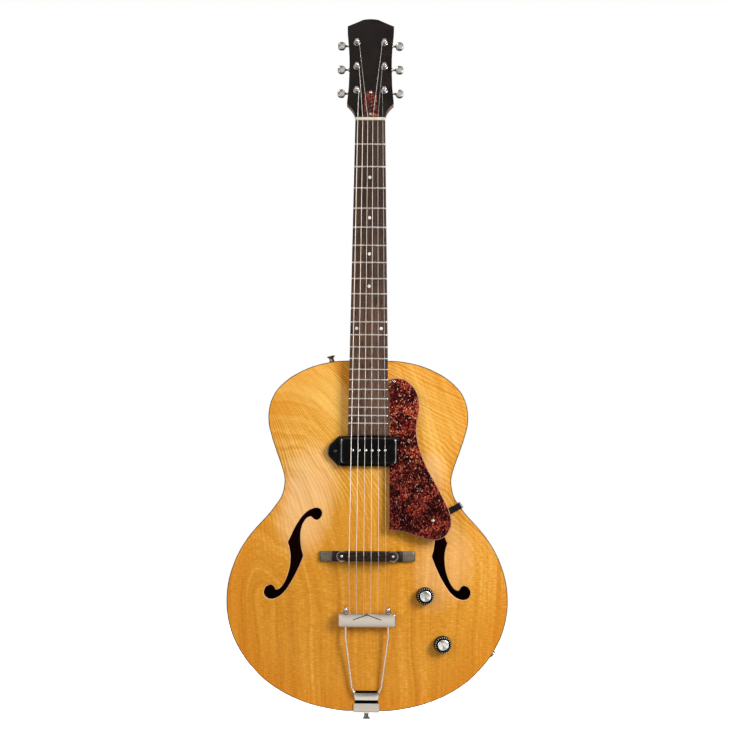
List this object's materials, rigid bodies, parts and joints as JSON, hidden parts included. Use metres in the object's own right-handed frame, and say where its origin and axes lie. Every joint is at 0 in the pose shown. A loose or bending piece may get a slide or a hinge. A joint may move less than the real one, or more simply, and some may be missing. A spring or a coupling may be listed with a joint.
{
  "type": "archtop guitar",
  "caption": "Hollow-body archtop guitar with arched plates, f-shaped sound holes, tilted headstock with geared tuners, covered pickup, floating bridge and hinged trapeze tailpiece.",
  "frame": {"origin": "the nut, on the centre line, in the middle of the neck thickness, where a wall hanger carries the neck", "axes": "+Z along the instrument towards the headstock, the front with the strings faces -Y, +X is the treble side as seen from the front"},
  "size_m": [0.4036, 0.1299, 1.0281],
  "materials": {
    "front_wood": "clear gloss lacquer over honey-coloured figured wood",
    "side_wood": "clear gloss lacquer",
    "back_wood": "clear gloss lacquer",
    "inner_wood": "bare sanded wood",
    "neck_wood": "clear gloss lacquer",
    "rosewood": "oiled open grain",
    "fret_wire": "polished",
    "nut_bone": "polished",
    "headstock_black": "black gloss lacquer",
    "tortoise_plastic": "polished, mottled red-brown",
    "rod_steel": "machined",
    "nickel": "nickel plate, lightly aged",
    "string_steel": "plain wire",
    "string_wound": "round wound wire",
    "black_plastic": "gloss",
    "coil_black": "moulded",
    "bracket_black": "black paint, light wear"
  },
  "bodies": {
    "root": {"top_plate": "front_wood", "rim": "side_wood", "back_plate": "back_wood", "neck_block": "inner_wood", "tail_block": "inner_wood", "top_lining": "inner_wood", "back_lining": "inner_wood", "tone_bar_bass": "inner_wood", "tone_bar_treble": "inner_wood", "neck": "neck_wood", "fingerboard": "rosewood", "bridge_base": "rosewood", "frets": "fret_wire", "nut": "nut_bone", "headstock_veneer": "headstock_black", "truss_rod_cover": "tortoise_plastic", "pickguard": "tortoise_plastic", "truss_rod": "rod_steel", "volume_pot": "rod_steel", "tone_pot": "rod_steel", "tuner_housing_1": "nickel", "tuner_housing_2": "nickel", "tuner_housing_3": "nickel", "tuner_housing_4": "nickel", "tuner_housing_5": "nickel", "tuner_housing_6": "nickel", "bridge_stud_bass": "nickel", "bridge_stud_treble": "nickel", "tailpiece_bracket": "nickel", "strap_button_upper": "nickel", "strap_button_tail": "nickel", "output_jack": "nickel", "string_1": "string_steel", "string_2": "string_steel", "string_3": "string_steel", "string_4": "string_wound", "string_5": "string_wound", "string_6": "string_wound", "pickup_cover": "black_plastic", "pickup_coil": "coil_black", "pickguard_bracket": "bracket_black"},
    "key_1": {"tuner_key_1": "nickel"},
    "post_1": {"tuner_post_1": "nickel"},
    "key_2": {"tuner_key_2": "nickel"},
    "post_2": {"tuner_post_2": "nickel"},
    "key_3": {"tuner_key_3": "nickel"},
    "post_3": {"tuner_post_3": "nickel"},
    "key_4": {"tuner_key_4": "nickel"},
    "post_4": {"tuner_post_4": "nickel"},
    "key_5": {"tuner_key_5": "nickel"},
    "post_5": {"tuner_post_5": "nickel"},
    "key_6": {"tuner_key_6": "nickel"},
    "post_6": {"tuner_post_6": "nickel"},
    "volume": {"volume_knob": "black_plastic"},
    "tone": {"tone_knob": "black_plastic"},
    "saddle": {"bridge_saddle": "rosewood"},
    "wheel_bass": {"thumbwheel_bass": "nickel"},
    "wheel_treble": {"thumbwheel_treble": "nickel"},
    "tailpiece": {"tailpiece_frame": "nickel", "tailpiece_crossbar": "nickel"}
  },
  "joints": [
    {"name": "key_1_turn", "type": "hinge", "parent": "root", "child": "key_1", "pos_m": [0.0203, 0.0276, 0.04594], "axis": [1, 0, 0], "continuous": true},
    {"name": "post_1_turn", "type": "hinge", "parent": "root", "child": "post_1", "pos_m": [0.0203, 0.00452, 0.04653], "axis": [0, 0.9636, -0.2672], "continuous": true},
    {"name": "key_2_turn", "type": "hinge", "parent": "root", "child": "key_2", "pos_m": [0.0203, 0.03802, 0.08352], "axis": [1, 0, 0], "continuous": true},
    {"name": "post_2_turn", "type": "hinge", "parent": "root", "child": "post_2", "pos_m": [0.0203, 0.01494, 0.08411], "axis": [0, 0.9636, -0.2672], "continuous": true},
    {"name": "key_3_turn", "type": "hinge", "parent": "root", "child": "key_3", "pos_m": [0.0203, 0.04844, 0.12111], "axis": [1, 0, 0], "continuous": true},
    {"name": "post_3_turn", "type": "hinge", "parent": "root", "child": "post_3", "pos_m": [0.0203, 0.02536, 0.1217], "axis": [0, 0.9636, -0.2672], "continuous": true},
    {"name": "key_4_turn", "type": "hinge", "parent": "root", "child": "key_4", "pos_m": [-0.0203, 0.04844, 0.12111], "axis": [-1, 0, 0], "continuous": true},
    {"name": "post_4_turn", "type": "hinge", "parent": "root", "child": "post_4", "pos_m": [-0.0203, 0.02536, 0.1217], "axis": [0, 0.9636, -0.2672], "continuous": true},
    {"name": "key_5_turn", "type": "hinge", "parent": "root", "child": "key_5", "pos_m": [-0.0203, 0.03802, 0.08352], "axis": [-1, 0, 0], "continuous": true},
    {"name": "post_5_turn", "type": "hinge", "parent": "root", "child": "post_5", "pos_m": [-0.0203, 0.01494, 0.08411], "axis": [0, 0.9636, -0.2672], "continuous": true},
    {"name": "key_6_turn", "type": "hinge", "parent": "root", "child": "key_6", "pos_m": [-0.0203, 0.0276, 0.04594], "axis": [-1, 0, 0], "continuous": true},
    {"name": "post_6_turn", "type": "hinge", "parent": "root", "child": "post_6", "pos_m": [-0.0203, 0.00452, 0.04653], "axis": [0, 0.9636, -0.2672], "continuous": true},
    {"name": "volume_turn", "type": "hinge", "parent": "root", "child": "volume", "pos_m": [0.0823, -0.02539, -0.6883], "axis": [0.073, -0.9966, -0.0371], "range_deg": [-150, 150]},
    {"name": "tone_turn", "type": "hinge", "parent": "root", "child": "tone", "pos_m": [0.108, -0.01985, -0.7573], "axis": [0.0668, -0.9956, -0.0657], "range_deg": [-150, 150]},
    {"name": "saddle_height", "type": "slide", "parent": "root", "child": "saddle", "axis": [0, -1, 0], "range_m": [-0.00305, 0.00205], "deforming": ["string_1", "string_2", "string_3", "string_4", "string_5", "string_6"]},
    {"name": "thumbwheel_bass_turn", "type": "hinge", "parent": "saddle", "child": "wheel_bass", "pos_m": [-0.0365, -0.0414, -0.6324], "axis": [0, -1, 0], "range_deg": [-1361, 907]},
    {"name": "thumbwheel_treble_turn", "type": "hinge", "parent": "saddle", "child": "wheel_treble", "pos_m": [0.0365, -0.0414, -0.6324], "axis": [0, -1, 0], "range_deg": [-1362, 908]},
    {"name": "tailpiece_hinge", "type": "hinge", "parent": "root", "child": "tailpiece", "pos_m": [0, -0.0214, -0.8264], "axis": [1, 0, 0], "range_deg": [-0.95, 0.65]}
  ],
  "couplings": [
    {"joint": "post_1_turn", "follows": "key_1_turn", "ratio": 0.071429},
    {"joint": "post_2_turn", "follows": "key_2_turn", "ratio": 0.071429},
    {"joint": "post_3_turn", "follows": "key_3_turn", "ratio": 0.071429},
    {"joint": "post_4_turn", "follows": "key_4_turn", "ratio": 0.071429},
    {"joint": "post_5_turn", "follows": "key_5_turn", "ratio": 0.071429},
    {"joint": "post_6_turn", "follows": "key_6_turn", "ratio": 0.071429},
    {"joint": "saddle_height", "follows": "thumbwheel_bass_turn", "m_per_rad": 0.00012637},
    {"joint": "thumbwheel_treble_turn", "follows": "thumbwheel_bass_turn", "ratio": 1},
    {"joint": "tailpiece_hinge", "follows": "thumbwheel_bass_turn", "ratio": 0.00064216}
  ]
}
